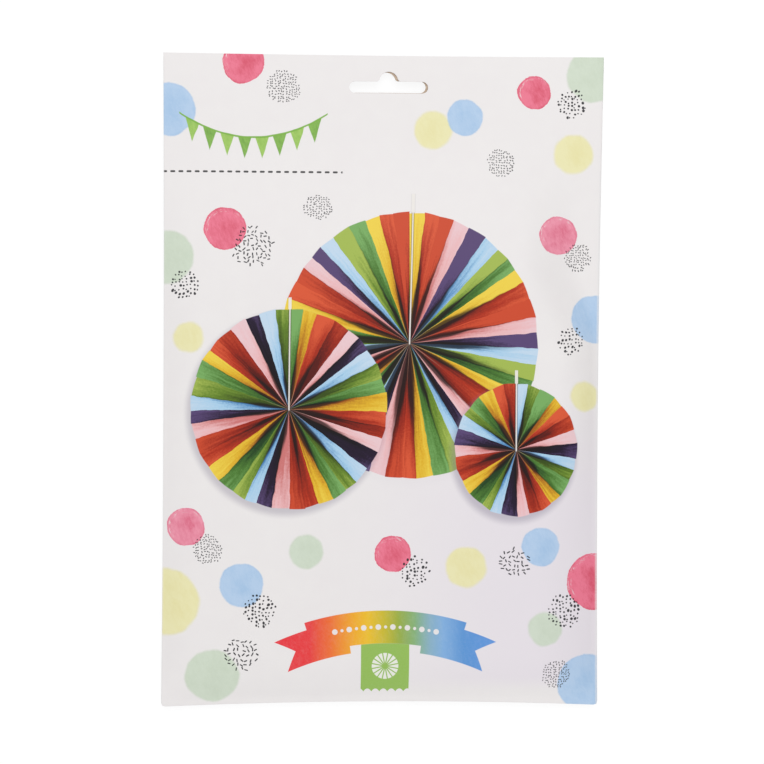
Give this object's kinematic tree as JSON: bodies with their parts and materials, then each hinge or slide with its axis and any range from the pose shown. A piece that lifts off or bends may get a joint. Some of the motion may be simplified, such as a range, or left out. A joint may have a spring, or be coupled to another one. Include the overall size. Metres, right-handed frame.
{
  "type": "sealed printed paper pack of folded paper fans",
  "caption": "Flat, filled and sealed paper pack with a euro hang slot, printed with striped paper fans, confetti dots and a plain banner.",
  "frame": {"origin": "under the middle of the pack's outline, on the surface that it lies on", "axes": "+X across the print to the right, +Y up the print to the hang slot, +Z out of the printed front"},
  "size_m": [0.2, 0.295, 0.0125],
  "materials": {
    "coated_paper": "pale coated paper with a soft satin sheen"
  },
  "bodies": {
    "root": {"paper_fan_pack": "coated_paper"}
  },
  "joints": []
}
